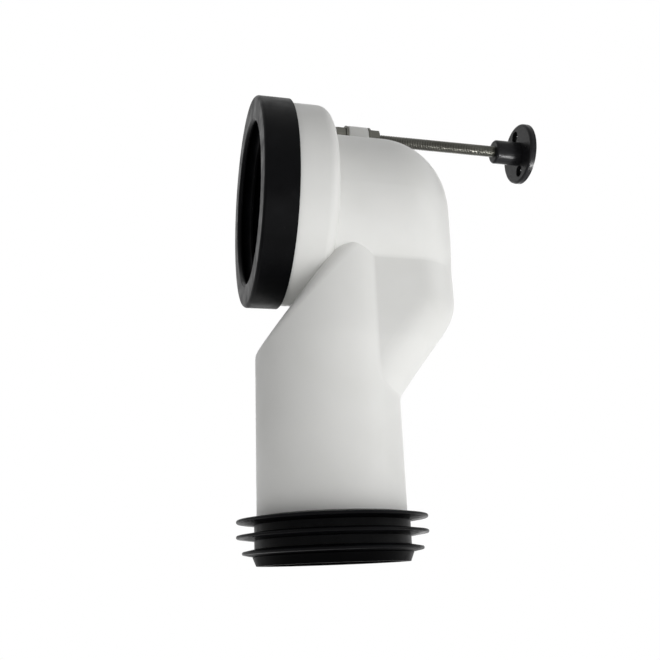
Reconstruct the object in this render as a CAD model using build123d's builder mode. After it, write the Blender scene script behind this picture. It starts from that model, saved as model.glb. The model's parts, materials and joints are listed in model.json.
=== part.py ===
from build123d import *
import os
from math import cos, pi, radians, sqrt, tan

# Offset drain elbow for a toilet pan, in millimetres.
# The outlet pipe stands on the Z axis, and the rim of its seal is at z = 0.
# The inlet faces -X, and the wall stay reaches along +X.

# Moulded wall, and the upright outlet pipe
wall = 3.2
pipe_radius = 45.0
pipe_lower_edge = 3.0

# Level upper tube, rounded over to an upright back wall that keeps a narrow flat
tube_radius = 56.0
tube_axis_height = 222.0
back_wall_x = 84.0
back_flat_half_width = 8.0

# Flat-sided belly under the tube, a little narrower than the pipe, with a floor that slants down to it
belly_side_inset = 6.0
ledge_round = 4.0
ledge_sections = 12
floor_back_drop = 70.0
floor_flat_half_width = 11.0
slant_from_upright = 37.0

# Hollow round where the belly runs into the pipe, and how far the form that carries it lies under the belly
crease_round = 8.0
neck_sink = 0.1

# Slanted roof that closes the front of the pipe
roof_front_drop = 95.0
roof_round = 8.0

# Inlet collar, with its axis a little above the tube's
collar_radius = 66.6
collar_axis_rise = 7.7
collar_front_x = -46.4
collar_back_x = -1.8
collar_round = 8.0

# Lug for the wall stay, on the crown of the tube
lug_front_x = 20.1
lug_length = 14.5
lug_radius = 8.0
lug_edge_round = 1.2
lug_hole_clearance = 0.25

# Inlet seal: a rubber cap over the collar's rim, with lips inside
inlet_band_thickness = 2.4
inlet_band_width = 18.2
inlet_face_thickness = 3.0
inlet_mouth_radius = 53.0
inlet_sleeve_thickness = 3.0
inlet_sleeve_length = 26.0
inlet_edge_round = 2.2
lip_radius = 49.0
lip_count = 3
lip_pitch = 7.0
lip_first_depth = 9.0
lip_lean = 5.0
lip_tip_width = 1.6
lip_root_width = 3.2

# Outlet seal: a rubber sleeve on the pipe's end, with fins
outlet_sleeve_thickness = 1.5
outlet_sleeve_height = 27.5
fin_radius = 57.1
lowest_fin_radius = 53.7
fin_heights = (25.3, 16.5, 7.3)
fin_tip_width = 1.6
fin_tip_chamfer = 0.4
fin_root_width = 5.0
skirt_thickness = 2.6
skirt_top = 5.0
rim_thickness = 0.5
inner_lip_thickness = 2.0
inner_lip_height = 9.0

# Wall stay: threaded rod, nuts and washers
rod_radius = 4.0
rod_front_past_nut = 3.0
rod_end_chamfer = 0.8
thread_clearance = 0.05
nut_sides = 6
nut_turn = 30.0
nut_across_flats = 13.0
nut_thickness = 6.8
nut_face_radius = 6.2
nut_chamfer_angle = 30.0
washer_radius = 8.0
washer_thickness = 1.6
washer_clearance = 0.2
washer_edge = 0.25
washer_gap_over_crown = 0.2

# Wall foot: boss and round flange
foot_boss_front_x = 131.5
foot_boss_radius = 8.5
foot_boss_length = 19.0
foot_flange_radius = 21.7
foot_flange_thickness = 4.5
foot_socket_depth = 16.0
foot_rod_end_gap = 0.3
foot_edge_round = 1.6
foot_root_round = 2.5
foot_screw_spacing = 28.0
foot_screw_radius = 2.3
foot_recess_radius = 4.2
foot_recess_depth = 2.0

os.makedirs("parts", exist_ok=True)

# Widths that follow from the pipe
belly_half_width = pipe_radius - belly_side_inset
floor_round = belly_half_width - floor_flat_half_width

# Heights that follow from the tube's axis
floor_back_height = tube_axis_height - floor_back_drop
roof_front_height = tube_axis_height - roof_front_drop
collar_axis_height = tube_axis_height + collar_axis_rise
rod_axis_height = tube_axis_height + tube_radius + washer_gap_over_crown + washer_radius
crown_of_pipe = tube_axis_height - sqrt(tube_radius**2 - pipe_radius**2)
pipe_top = crown_of_pipe + 2 * wall
ledge_centre_height = tube_axis_height - sqrt(
    (tube_radius + ledge_round) ** 2 - (belly_half_width + ledge_round) ** 2
)
neck_top = (ledge_centre_height + crown_of_pipe) / 2

# Planes of the slanted faces: both lean the same way, the roof over the pipe's front, the floor under the belly
slant_run = tan(radians(slant_from_upright))
belly_front_x = (pipe_top - roof_front_height) * slant_run - pipe_radius
floor_lowest = floor_back_height - (back_wall_x - belly_front_x) / slant_run
roof_plane = Plane(
    origin=(-pipe_radius, 0, roof_front_height), x_dir=(0, 1, 0), z_dir=(-1, 0, slant_run)
)
floor_plane = Plane(
    origin=(back_wall_x, 0, floor_back_height), x_dir=(0, 1, 0), z_dir=(1, 0, -slant_run)
)
roof_normal = Axis(roof_plane.origin, roof_plane.z_dir)
floor_normal = Axis(floor_plane.origin, floor_plane.z_dir)
tube_front_x = collar_back_x - collar_round
collar_axis = Axis((0, 0, collar_axis_height), (1, 0, 0))
rod_axis = Axis((0, 0, rod_axis_height), (1, 0, 0))
rod_plane = Plane(origin=(0, 0, rod_axis_height), x_dir=(1, 0, 0), z_dir=(0, -1, 0))


def pipe_form(inset):
    """The outlet pipe as a solid, moved in by inset, with its front closed by the slanted roof."""
    with BuildPart() as form:
        with BuildSketch(Plane.XY.offset(pipe_lower_edge)):
            Circle(pipe_radius - inset)
        extrude(amount=pipe_top - pipe_lower_edge)
        split(bisect_by=roof_plane.offset(-inset), keep=Keep.BOTTOM)
        roof_face = form.faces().filter_by(GeomType.PLANE).sort_by(roof_normal)[-1]
        fillet(roof_face.edges().filter_by(GeomType.ELLIPSE), roof_round - inset)
    return form.part


def belly_form(inset, top=ledge_centre_height):
    """The belly as a solid, moved in by inset, from its slanted floor up to the ledge under the tube."""
    with BuildPart() as form:
        with BuildSketch(Plane.XY.offset(floor_lowest)) as plan:
            with Locations((belly_front_x, 0)):
                Rectangle(
                    back_wall_x - inset - belly_front_x,
                    2 * (belly_half_width - inset),
                    align=(Align.MIN, Align.CENTER),
                )
            back_corners = plan.vertices().group_by(Axis.X)[-1]
            fillet(back_corners, belly_half_width - inset - back_flat_half_width)
        extrude(amount=top - floor_lowest)
        split(bisect_by=floor_plane.offset(-inset), keep=Keep.BOTTOM)
        floor_face = form.faces().filter_by(GeomType.PLANE).sort_by(floor_normal)[-1]
        front_edge = floor_face.edges().sort_by(Axis.X)[0]
        fillet(floor_face.edges() - [front_edge], floor_round - inset)
    return form.part


def pipe_and_neck_form(inset):
    """The pipe with a neck that lies just under the belly's skin, and a hollow round between the two."""
    pipe = pipe_form(inset)
    neck = belly_form(inset + neck_sink, neck_top)
    with BuildPart() as form:
        add(pipe)
        add(neck)
        meeting_edges = new_edges(pipe, neck, combined=form.part)
        crease = meeting_edges.filter_by(lambda edge: edge.center().Z < neck_top - neck_sink)
        fillet(crease, crease_round + inset)
    return form.part


def half_width_at(height, inset):
    """Half the width of the tube's lower half at a height, with the ledge's hollow round at its foot."""
    radius = tube_radius - inset
    hollow_radius = ledge_round + inset
    centre_drop = tube_axis_height - ledge_centre_height
    touch_height = tube_axis_height - centre_drop * radius / (tube_radius + ledge_round)
    if height >= touch_height:
        return sqrt(radius**2 - (tube_axis_height - height) ** 2)
    return belly_half_width + ledge_round - sqrt(hollow_radius**2 - (height - ledge_centre_height) ** 2)


def upper_tube_form(inset):
    """The tube's upper half as a solid, moved in by inset, rounded down to the back wall."""
    with BuildPart() as form:
        with BuildSketch(Plane.YZ.offset(tube_front_x)):
            with Locations((0, tube_axis_height)):
                Circle(tube_radius - inset)
        extrude(amount=back_wall_x - inset - tube_front_x)
        back_edge = form.faces().sort_by(Axis.X)[-1].edges()
        fillet(back_edge, tube_radius - inset - back_flat_half_width)
        split(bisect_by=Plane.XY.offset(tube_axis_height), keep=Keep.TOP)
    return form.part


def lower_tube_form(inset):
    """The tube's lower half as a solid, moved in by inset, drawn in level by level to the belly's plan."""
    back_x = back_wall_x - inset
    step = (tube_axis_height - ledge_centre_height) / (ledge_sections - 1)
    with BuildPart() as form:
        for index in range(ledge_sections):
            height = tube_axis_height - index * step
            half_width = half_width_at(height, inset)
            corner = half_width - back_flat_half_width
            with BuildSketch(Plane.XY.offset(height)):
                with BuildLine():
                    Line((tube_front_x, -half_width), (back_x - corner, -half_width))
                    RadiusArc((back_x - corner, -half_width), (back_x, -back_flat_half_width), -corner)
                    Line((back_x, -back_flat_half_width), (back_x, back_flat_half_width))
                    RadiusArc((back_x, back_flat_half_width), (back_x - corner, half_width), -corner)
                    Line((back_x - corner, half_width), (tube_front_x, half_width))
                    Line((tube_front_x, half_width), (tube_front_x, -half_width))
                make_face()
        loft()
    return form.part


def collar_form(inset):
    """The inlet collar as a solid, moved in by inset."""
    with BuildPart() as form:
        with BuildSketch(Plane.YZ.offset(collar_front_x)):
            with Locations((0, collar_axis_height)):
                Circle(collar_radius - inset)
        extrude(amount=collar_back_x - inset - collar_front_x)
        fillet(form.faces().sort_by(Axis.X)[-1].edges(), collar_round - inset)
    return form.part


def lug_form():
    """The lug as a solid, down to the inside of the tube's wall, with its outline edges rounded."""
    with BuildPart() as form:
        with BuildSketch(Plane.YZ.offset(lug_front_x)):
            with Locations((0, rod_axis_height)):
                Circle(lug_radius)
                Rectangle(
                    2 * lug_radius,
                    rod_axis_height - tube_axis_height - tube_radius + 2 * wall,
                    align=(Align.CENTER, Align.MAX),
                )
        extrude(amount=lug_length)
        fillet(form.faces().filter_by(Axis.X).edges(), lug_edge_round)
    return form.part


# Bend body
form_makers = (upper_tube_form, lower_tube_form, belly_form, pipe_and_neck_form, collar_form)
outer_forms = [make_form(0) for make_form in form_makers]
inner_forms = [make_form(wall) for make_form in form_makers]
lug = lug_form()
with BuildPart() as bend_body:
    for outer in outer_forms:
        add(outer)
    add(lug)
    for inner in inner_forms:
        add(inner, mode=Mode.SUBTRACT)
    with BuildSketch(Plane.YZ.offset(lug_front_x)):
        with Locations((0, rod_axis_height)):
            Circle(rod_radius + lug_hole_clearance)
    extrude(amount=lug_length, mode=Mode.SUBTRACT)
bend_body.part.label = "bend_body"
export_step(bend_body.part, "parts/bend_body.step")

# Inlet seal, turned about the collar's axis from a section with x along the axis and y outwards
collar_plane = Plane(origin=(0, 0, collar_axis_height), x_dir=(1, 0, 0), z_dir=(0, -1, 0))
inlet_outer_radius = collar_radius + inlet_band_thickness
inlet_front_x = collar_front_x - inlet_face_thickness
sleeve_outer_radius = collar_radius - wall
sleeve_inner_radius = sleeve_outer_radius - inlet_sleeve_thickness
with BuildPart() as inlet_seal:
    with BuildSketch(collar_plane) as section:
        with Locations((inlet_front_x, inlet_mouth_radius)):
            Rectangle(
                inlet_face_thickness,
                inlet_outer_radius - inlet_mouth_radius,
                align=(Align.MIN, Align.MIN),
            )
        with Locations((inlet_front_x, collar_radius)):
            Rectangle(
                inlet_face_thickness + inlet_band_width,
                inlet_band_thickness,
                align=(Align.MIN, Align.MIN),
            )
        with Locations((inlet_front_x, sleeve_inner_radius)):
            Rectangle(
                inlet_face_thickness + inlet_sleeve_length,
                inlet_sleeve_thickness,
                align=(Align.MIN, Align.MIN),
            )
        front_corners = section.vertices().group_by(Axis.X)[0]
        fillet(front_corners, inlet_edge_round)
        for index in range(lip_count):
            root_x = inlet_front_x + lip_first_depth - lip_lean + index * lip_pitch
            with BuildLine():
                Polyline(
                    (root_x, sleeve_inner_radius),
                    (root_x + lip_lean, lip_radius),
                    (root_x + lip_lean + lip_tip_width, lip_radius),
                    (root_x + lip_root_width, sleeve_inner_radius),
                    close=True,
                )
            make_face()
    revolve(axis=collar_axis)
inlet_seal.part.label = "inlet_seal"
export_step(inlet_seal.part, "parts/inlet_seal.step")

# Outlet seal, turned about the Z axis
sleeve_radius = pipe_radius + outlet_sleeve_thickness
pipe_bore_radius = pipe_radius - wall
with BuildPart() as outlet_seal:
    with BuildSketch(Plane.XZ) as section:
        with BuildLine():
            Polyline(
                (pipe_bore_radius - inner_lip_thickness, 0),
                (pipe_radius + rim_thickness, 0),
                (pipe_radius + skirt_thickness, skirt_top),
                (sleeve_radius, skirt_top),
                (sleeve_radius, outlet_sleeve_height),
                (pipe_radius, outlet_sleeve_height),
                (pipe_radius, pipe_lower_edge),
                (pipe_bore_radius, pipe_lower_edge),
                (pipe_bore_radius, inner_lip_height),
                (pipe_bore_radius - inner_lip_thickness, inner_lip_height),
                close=True,
            )
        make_face()
        for height in fin_heights:
            tip_radius = lowest_fin_radius if height == min(fin_heights) else fin_radius
            with BuildLine():
                Polyline(
                    (pipe_radius, height - fin_root_width / 2),
                    (tip_radius, height - fin_tip_width / 2),
                    (tip_radius, height + fin_tip_width / 2),
                    (pipe_radius, height + fin_root_width / 2),
                    close=True,
                )
            make_face()
        fin_tips = section.vertices().filter_by(lambda corner: corner.X > sleeve_radius + fin_tip_width)
        chamfer(fin_tips, fin_tip_chamfer)
    revolve(axis=Axis.Z)
outlet_seal.part.label = "outlet_seal"
export_step(outlet_seal.part, "parts/outlet_seal.step")

# Washers and nuts, on both sides of the lug
lug_back_x = lug_front_x + lug_length
front_washer_x = lug_front_x - washer_thickness
front_nut_x = front_washer_x - nut_thickness
rear_nut_x = lug_back_x + washer_thickness


def washer(front_x):
    """A plain washer on the rod, with its front face at front_x."""
    with BuildPart() as ring:
        with BuildSketch(Plane.YZ.offset(front_x)):
            with Locations((0, rod_axis_height)):
                Circle(washer_radius)
                Circle(rod_radius + washer_clearance, mode=Mode.SUBTRACT)
        extrude(amount=washer_thickness)
        chamfer(ring.edges().filter_by(GeomType.CIRCLE).group_by(SortBy.RADIUS)[-1], washer_edge)
    return ring.part


def hexagon_nut(front_x):
    """A hexagon nut on the rod with a corner up, its front face at front_x, both ends chamfered."""
    back_x = front_x + nut_thickness
    bore_radius = rod_radius + thread_clearance
    corner_radius = nut_across_flats / 2 / cos(pi / nut_sides)
    chamfer_depth = (corner_radius - nut_face_radius) * tan(radians(nut_chamfer_angle))
    with BuildPart() as nut:
        with BuildSketch(rod_plane):
            with BuildLine():
                Polyline(
                    (front_x, bore_radius),
                    (front_x, nut_face_radius),
                    (front_x + chamfer_depth, corner_radius),
                    (back_x - chamfer_depth, corner_radius),
                    (back_x, nut_face_radius),
                    (back_x, bore_radius),
                    close=True,
                )
            make_face()
        revolve(axis=rod_axis)
        with BuildSketch(Plane.YZ.offset(front_x)):
            with Locations((0, rod_axis_height)):
                RegularPolygon(corner_radius, nut_sides, rotation=nut_turn)
        extrude(amount=nut_thickness, mode=Mode.INTERSECT)
    return nut.part


front_washer_solid = washer(front_washer_x)
with BuildPart() as front_washer:
    add(front_washer_solid)
front_washer.part.label = "front_washer"
export_step(front_washer.part, "parts/front_washer.step")

rear_washer_solid = washer(lug_back_x)
with BuildPart() as rear_washer:
    add(rear_washer_solid)
rear_washer.part.label = "rear_washer"
export_step(rear_washer.part, "parts/rear_washer.step")

front_nut_solid = hexagon_nut(front_nut_x)
with BuildPart() as front_nut:
    add(front_nut_solid)
front_nut.part.label = "front_nut"
export_step(front_nut.part, "parts/front_nut.step")

rear_nut_solid = hexagon_nut(rear_nut_x)
with BuildPart() as rear_nut:
    add(rear_nut_solid)
rear_nut.part.label = "rear_nut"
export_step(rear_nut.part, "parts/rear_nut.step")

# Stay rod, from in front of the front nut into the foot's socket
rod_front_x = front_nut_x - rod_front_past_nut
rod_back_x = foot_boss_front_x + foot_socket_depth - foot_rod_end_gap
with BuildPart() as stay_rod:
    with BuildSketch(Plane.YZ.offset(rod_front_x)):
        with Locations((0, rod_axis_height)):
            Circle(rod_radius)
    extrude(amount=rod_back_x - rod_front_x)
    chamfer(stay_rod.edges().filter_by(GeomType.CIRCLE), rod_end_chamfer)
stay_rod.part.label = "stay_rod"
export_step(stay_rod.part, "parts/stay_rod.step")

# Wall foot, turned about the rod's axis, with two screw holes through its flange
foot_flange_x = foot_boss_front_x + foot_boss_length
foot_back_x = foot_flange_x + foot_flange_thickness
foot_socket_end_x = foot_boss_front_x + foot_socket_depth
foot_socket_radius = rod_radius + thread_clearance
foot_front = Plane((foot_flange_x, 0, rod_axis_height), x_dir=(0, 1, 0), z_dir=(-1, 0, 0))
with BuildPart() as wall_foot:
    with BuildSketch(rod_plane) as section:
        with BuildLine():
            Polyline(
                (foot_boss_front_x, foot_socket_radius),
                (foot_boss_front_x, foot_boss_radius),
                (foot_flange_x, foot_boss_radius),
                (foot_flange_x, foot_flange_radius),
                (foot_back_x, foot_flange_radius),
                (foot_back_x, 0),
                (foot_socket_end_x, 0),
                (foot_socket_end_x, foot_socket_radius),
                close=True,
            )
        make_face()
        boss_edge = section.vertices().group_by(Axis.X)[0].sort_by(Axis.Y)[-1]
        flange_corners = section.vertices().group_by(Axis.X)[-2].sort_by(Axis.Y)
        fillet([boss_edge, flange_corners[-1]], foot_edge_round)
        fillet(flange_corners[0], foot_root_round)
    revolve(axis=rod_axis)
    with Locations(foot_front):
        with GridLocations(0, foot_screw_spacing, 1, 2):
            CounterBoreHole(foot_screw_radius, foot_recess_radius, foot_recess_depth)
wall_foot.part.label = "wall_foot"
export_step(wall_foot.part, "parts/wall_foot.step")
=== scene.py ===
import json
import math

import bmesh
import bpy
from mathutils import Matrix, Vector

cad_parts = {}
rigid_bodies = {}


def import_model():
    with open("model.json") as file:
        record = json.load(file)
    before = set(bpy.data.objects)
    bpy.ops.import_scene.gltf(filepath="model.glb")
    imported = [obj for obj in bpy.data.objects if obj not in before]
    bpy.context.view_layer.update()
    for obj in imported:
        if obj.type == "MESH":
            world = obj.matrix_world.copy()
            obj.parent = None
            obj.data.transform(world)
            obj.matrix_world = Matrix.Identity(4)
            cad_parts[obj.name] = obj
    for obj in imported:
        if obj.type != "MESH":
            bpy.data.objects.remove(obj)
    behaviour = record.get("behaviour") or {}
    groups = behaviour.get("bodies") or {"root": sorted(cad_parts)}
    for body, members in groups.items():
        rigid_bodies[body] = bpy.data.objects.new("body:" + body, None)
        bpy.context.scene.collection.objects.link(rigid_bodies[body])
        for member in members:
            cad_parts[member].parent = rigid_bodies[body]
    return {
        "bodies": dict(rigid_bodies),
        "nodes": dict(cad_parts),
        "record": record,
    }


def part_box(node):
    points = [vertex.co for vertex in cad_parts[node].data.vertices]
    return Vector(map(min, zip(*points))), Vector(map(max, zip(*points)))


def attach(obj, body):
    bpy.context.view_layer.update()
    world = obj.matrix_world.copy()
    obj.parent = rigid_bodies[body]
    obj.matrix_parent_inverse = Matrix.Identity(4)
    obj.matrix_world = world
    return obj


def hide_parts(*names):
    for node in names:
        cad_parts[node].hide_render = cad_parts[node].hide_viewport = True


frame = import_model()
kept = set(frame["nodes"].values()) | set(frame["bodies"].values())
for obj in list(bpy.data.objects):
    if obj not in kept:
        bpy.data.objects.remove(obj)
bpy.context.view_layer.update()

nodes = frame["nodes"]
scene = bpy.context.scene


# Materials

class Surface:
    """A Principled material whose colour, roughness and bump come from noise in object space."""

    def __init__(self, name, **constants):
        self.material = bpy.data.materials.new(name)
        self.material.use_nodes = True
        self.tree = self.material.node_tree
        self.shader = self.tree.nodes["Principled BSDF"]
        self.space = self.tree.nodes.new("ShaderNodeTexCoord")
        self.normal = None
        for key, value in constants.items():
            socket = key.replace("_", " ").title().replace("Ior", "IOR")
            self.shader.inputs[socket].default_value = value

    def noise(self, scale, detail=3.0, stretch=(1, 1, 1)):
        mapping = self.tree.nodes.new("ShaderNodeMapping")
        mapping.inputs["Scale"].default_value = stretch
        self.tree.links.new(self.space.outputs["Object"], mapping.inputs["Vector"])
        texture = self.tree.nodes.new("ShaderNodeTexNoise")
        texture.inputs["Scale"].default_value = scale
        texture.inputs["Detail"].default_value = detail
        self.tree.links.new(mapping.outputs["Vector"], texture.inputs["Vector"])
        return texture.outputs["Fac"]

    def colours(self, factor, stops):
        ramp = self.tree.nodes.new("ShaderNodeValToRGB")
        while len(ramp.color_ramp.elements) < len(stops):
            ramp.color_ramp.elements.new(0.5)
        for element, (place, colour) in zip(ramp.color_ramp.elements, stops):
            element.position = place
            element.color = (*colour, 1)
        self.tree.links.new(factor, ramp.inputs["Fac"])
        self.tree.links.new(ramp.outputs["Color"], self.shader.inputs["Base Color"])

    def roughness(self, factor, low, high):
        """Spreads the middle of the noise, where most of its values lie, from low to high."""
        span = self.tree.nodes.new("ShaderNodeMapRange")
        span.inputs["From Min"].default_value = 0.3
        span.inputs["From Max"].default_value = 0.7
        span.inputs["To Min"].default_value = low
        span.inputs["To Max"].default_value = high
        self.tree.links.new(factor, span.inputs["Value"])
        self.tree.links.new(span.outputs["Result"], self.shader.inputs["Roughness"])

    def bump(self, height, strength, distance):
        """Adds a layer of bump on top of the earlier ones."""
        node = self.tree.nodes.new("ShaderNodeBump")
        node.inputs["Strength"].default_value = strength
        node.inputs["Distance"].default_value = distance
        self.tree.links.new(height, node.inputs["Height"])
        if self.normal is not None:
            self.tree.links.new(self.normal, node.inputs["Normal"])
        self.normal = node.outputs["Normal"]
        self.tree.links.new(self.normal, self.shader.inputs["Normal"])


# White moulded plastic: faint cloudy tint, slight flow streaks, fine satin grain
white = Surface("white_moulded_plastic", specular_ior_level=0.35)
white.colours(
    white.noise(26, 4),
    [(0.30, (0.755, 0.755, 0.732)), (0.55, (0.780, 0.780, 0.760)), (0.75, (0.795, 0.793, 0.772))],
)
white.roughness(white.noise(90, 3), 0.36, 0.46)
white.bump(white.noise(55, 2), 0.10, 0.0006)
white.bump(white.noise(2600, 2), 0.06, 0.00012)

# Black rubber: soft sheen with dusty patches and a fine skin
rubber = Surface("black_rubber", specular_ior_level=0.05)
rubber.colours(
    rubber.noise(70, 5),
    [
        (0.30, (0.0014, 0.0015, 0.0018)),
        (0.60, (0.0024, 0.0025, 0.0030)),
        (0.80, (0.0052, 0.0054, 0.0062)),
    ],
)
rubber.roughness(rubber.noise(110, 4), 0.30, 0.46)
rubber.bump(rubber.noise(1800, 3), 0.10, 0.00015)

# Zinc-plated steel: grey with an olive cast, brushed along the rod
zinc = Surface("zinc_plated_steel", metallic=1.0)
zinc.colours(
    zinc.noise(160, 5, (0.25, 1, 1)),
    [(0.28, (0.085, 0.084, 0.073)), (0.55, (0.130, 0.129, 0.114)), (0.80, (0.190, 0.188, 0.168))],
)
zinc.roughness(zinc.noise(320, 4), 0.30, 0.52)
zinc.bump(zinc.noise(2400, 2, (0.15, 1, 1)), 0.12, 0.0001)

# Black moulded plastic of the foot: glossier than the rubber
foot_black = Surface("black_moulded_plastic", specular_ior_level=0.12)
foot_black.colours(
    foot_black.noise(120, 4),
    [
        (0.30, (0.0045, 0.0045, 0.0052)),
        (0.60, (0.0065, 0.0065, 0.0072)),
        (0.80, (0.0100, 0.0100, 0.0110)),
    ],
)
foot_black.roughness(foot_black.noise(260, 3), 0.26, 0.40)
foot_black.bump(foot_black.noise(1500, 2), 0.10, 0.00015)

LOOKS = {
    "white_plastic": white.material,
    "black_rubber": rubber.material,
    "zinc_steel": zinc.material,
    "black_plastic": foot_black.material,
}


def finish_with(obj, slot):
    obj.data.materials.clear()
    obj.data.materials.append(LOOKS[slot])


for part in frame["record"]["subparts"]:
    finish_with(nodes[part["node"]], part["material_slot"])


# Stay rod with its real M8 thread

def threaded_rod(name, start_x, end_x, axis_z, crest, root, pitch, chamfer, around=40):
    """A right-hand thread along +X as one closed mesh, with chamfered ends."""
    # One turn of the profile: shares of the pitch along the rod, and the radius there
    profile = ((-1 / 16, crest), (1 / 16, crest), (3 / 8, root), (5 / 8, root))
    count = len(profile)
    length = end_x - start_x
    turns = math.ceil(length / pitch) + 2
    rows = turns * count
    points, faces = [], []
    for step in range(around):
        angle = math.tau * step / around
        for row in range(rows):
            share, radius = profile[row % count]
            along = pitch * (row // count - 1 + share + step / around)
            along = min(max(along, 0.0), length)
            to_end = min(along, length - along)
            radius = min(radius, crest - chamfer + to_end)
            points.append((start_x + along, radius * math.cos(angle), axis_z + radius * math.sin(angle)))
    for step in range(around):
        last = step == around - 1
        here = step * rows
        there = 0 if last else here + rows
        # The seam joins each turn to the next one
        shift = count if last else 0
        for row in range(rows - 1 - shift):
            faces.append((here + row, here + row + 1, there + row + 1 + shift, there + row + shift))
    mesh = bpy.data.meshes.new(name)
    mesh.from_pydata(points, [], faces)
    solid = bmesh.new()
    solid.from_mesh(mesh)
    # The rows that were held at the ends fall together there, and the two end rings are closed
    bmesh.ops.remove_doubles(solid, verts=solid.verts, dist=1e-6)
    bmesh.ops.edgeloop_fill(solid, edges=[edge for edge in solid.edges if edge.is_boundary])
    bmesh.ops.recalc_face_normals(solid, faces=solid.faces)
    solid.to_mesh(mesh)
    solid.free()
    rod = bpy.data.objects.new(name, mesh)
    scene.collection.objects.link(rod)
    return rod


rod_low, rod_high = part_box("stay_rod")
rod_axis_z = (rod_low.z + rod_high.z) / 2
rod = threaded_rod(
    "stay_rod_thread",
    rod_low.x,
    rod_high.x,
    rod_axis_z,
    crest=0.00398,
    root=0.00327,
    pitch=0.00125,
    chamfer=0.0008,
)
finish_with(rod, "zinc_steel")
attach(rod, "stay")
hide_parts("stay_rod")


# Floor, light and camera

FLOOR_COLOUR = (0.86, 0.86, 0.86, 1)
FLOOR_HALF_SIZE = 3.0
FLOOR_PALENESS = 0.42
WORLD_LIGHT = 0.23
WORLD_WHITE = 1.0
WHITE = (1, 1, 1, 1)


def seen_directly(tree):
    """1 for camera, transmission and glossy rays, and 0 for the rays that carry light to the part."""
    path = tree.nodes.new("ShaderNodeLightPath")
    factor = path.outputs["Is Camera Ray"]
    for kind in ("Is Transmission Ray", "Is Glossy Ray"):
        either = tree.nodes.new("ShaderNodeMath")
        either.operation = "MAXIMUM"
        tree.links.new(factor, either.inputs[0])
        tree.links.new(path.outputs[kind], either.inputs[1])
        factor = either.outputs[0]
    return factor


def plain_floor():
    """A pale floor that shows only its upper side, because the photo's camera stands just under it."""
    mesh = bpy.data.meshes.new("floor")
    half = FLOOR_HALF_SIZE
    corners = [(-half, -half, 0), (half, -half, 0), (half, half, 0), (-half, half, 0)]
    mesh.from_pydata(corners, [], [(0, 1, 2, 3)])
    floor = bpy.data.objects.new("floor", mesh)
    scene.collection.objects.link(floor)
    material = bpy.data.materials.new("pale_floor")
    material.use_nodes = True
    tree = material.node_tree
    shader = tree.nodes["Principled BSDF"]
    shader.inputs["Roughness"].default_value = 0.8
    shader.inputs["Base Color"].default_value = FLOOR_COLOUR
    paleness = tree.nodes.new("ShaderNodeMath")
    paleness.operation = "MULTIPLY"
    paleness.inputs[1].default_value = FLOOR_PALENESS
    tree.links.new(seen_directly(tree), paleness.inputs[0])
    tree.links.new(paleness.outputs[0], shader.inputs["Emission Strength"])
    shader.inputs["Emission Color"].default_value = WHITE
    clear = tree.nodes.new("ShaderNodeBsdfTransparent")
    side = tree.nodes.new("ShaderNodeNewGeometry")
    mix = tree.nodes.new("ShaderNodeMixShader")
    tree.links.new(side.outputs["Backfacing"], mix.inputs["Fac"])
    tree.links.new(shader.outputs["BSDF"], mix.inputs[1])
    tree.links.new(clear.outputs["BSDF"], mix.inputs[2])
    tree.links.new(mix.outputs["Shader"], tree.nodes["Material Output"].inputs["Surface"])
    mesh.materials.append(material)


def studio_world():
    """A soft grey light from all around, seen as plain white."""
    world = bpy.data.worlds.new("studio")
    scene.world = world
    world.use_nodes = True
    tree = world.node_tree
    light = tree.nodes["Background"]
    light.inputs["Color"].default_value = WHITE
    light.inputs["Strength"].default_value = WORLD_LIGHT
    backdrop = tree.nodes.new("ShaderNodeBackground")
    backdrop.inputs["Color"].default_value = WHITE
    backdrop.inputs["Strength"].default_value = WORLD_WHITE
    mix = tree.nodes.new("ShaderNodeMixShader")
    tree.links.new(seen_directly(tree), mix.inputs["Fac"])
    tree.links.new(light.outputs[0], mix.inputs[1])
    tree.links.new(backdrop.outputs[0], mix.inputs[2])
    tree.links.new(mix.outputs[0], tree.nodes["World Output"].inputs["Surface"])


plain_floor()
studio_world()


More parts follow.
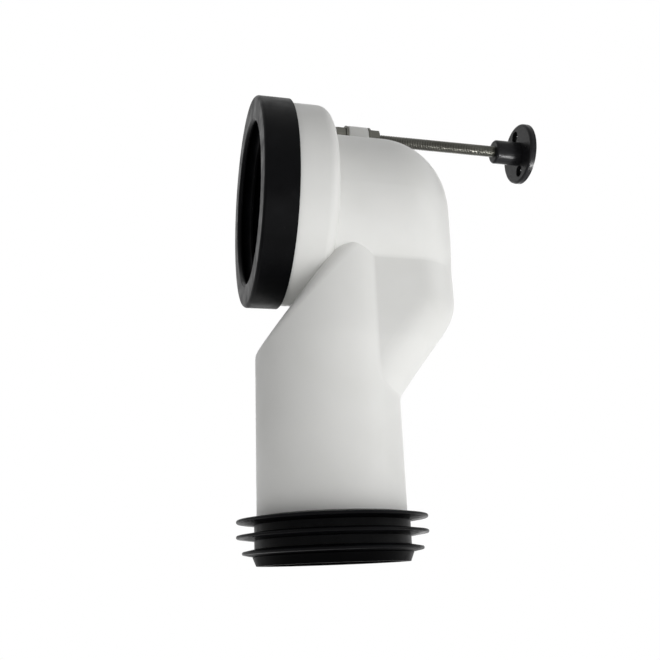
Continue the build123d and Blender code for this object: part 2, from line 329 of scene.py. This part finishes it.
def area_light(name, place, aim, size, size_y, power, spread=180):
    """A rectangular lamp at place that faces aim, in metres, watts and degrees, hidden from the camera."""
    data = bpy.data.lights.new(name, "AREA")
    data.shape = "RECTANGLE"
    data.size = size
    data.size_y = size_y
    data.energy = power
    data.spread = math.radians(spread)
    lamp = bpy.data.objects.new(name, data)
    lamp.location = place
    lamp.rotation_euler = (Vector(aim) - Vector(place)).to_track_quat("-Z", "Y").to_euler()
    lamp.visible_camera = False
    scene.collection.objects.link(lamp)


# Two low panels glow up from the table, in front and to the right, and a softbox stands to the right
area_light("front_glow", (-0.05, -0.45, 0.006), (-0.05, -0.45, 1.0), 0.6, 0.5, 1.38)
area_light("right_glow", (0.34, -0.26, 0.006), (0.34, -0.26, 1.0), 0.9, 0.8, 1.57)
area_light("right_softbox", (0.60, -0.30, 0.30), (0.03, 0.0, 0.20), 0.4, 0.4, 1.00)

# A softbox behind lights the side that the photo hides
area_light("back_softbox", (0.30, 0.90, 0.60), (0.03, 0.0, 0.18), 0.6, 0.6, 4.00)

# A small narrow-beamed lamp on the table gives the foot's boss its highlight
area_light("foot_highlight", (0.28, -0.11, 0.012), (0.141, -0.005, 0.283), 0.14, 0.14, 0.10, spread=16)

# The photo's camera, from a perspective fit: low in front, looking up and a little to the right
camera_place = (-0.1185, -0.47519, -0.00853)
camera_data = bpy.data.cameras.new("camera")
camera = bpy.data.objects.new("camera", camera_data)
scene.collection.objects.link(camera)
yaw, tilt, roll = math.radians(14.35), math.radians(17.3), math.radians(-2.17)
level = Vector((math.sin(yaw), math.cos(yaw), 0))
side = Vector((math.cos(yaw), -math.sin(yaw), 0))
ahead = level * math.cos(tilt) + Vector((0, 0, math.sin(tilt)))
upward = Vector((0, 0, math.cos(tilt))) - level * math.sin(tilt)
right = side * math.cos(roll) + upward * math.sin(roll)
top = upward * math.cos(roll) - side * math.sin(roll)
camera.matrix_world = Matrix(
    (
        (right.x, top.x, -ahead.x, camera_place[0]),
        (right.y, top.y, -ahead.y, camera_place[1]),
        (right.z, top.z, -ahead.z, camera_place[2]),
        (0, 0, 0, 1),
    )
)
camera_data.lens = 43.61
camera_data.sensor_width = 36
camera_data.sensor_fit = "HORIZONTAL"
camera_data.clip_start = 0.005
scene.camera = camera
scene.view_settings.view_transform = "Standard"
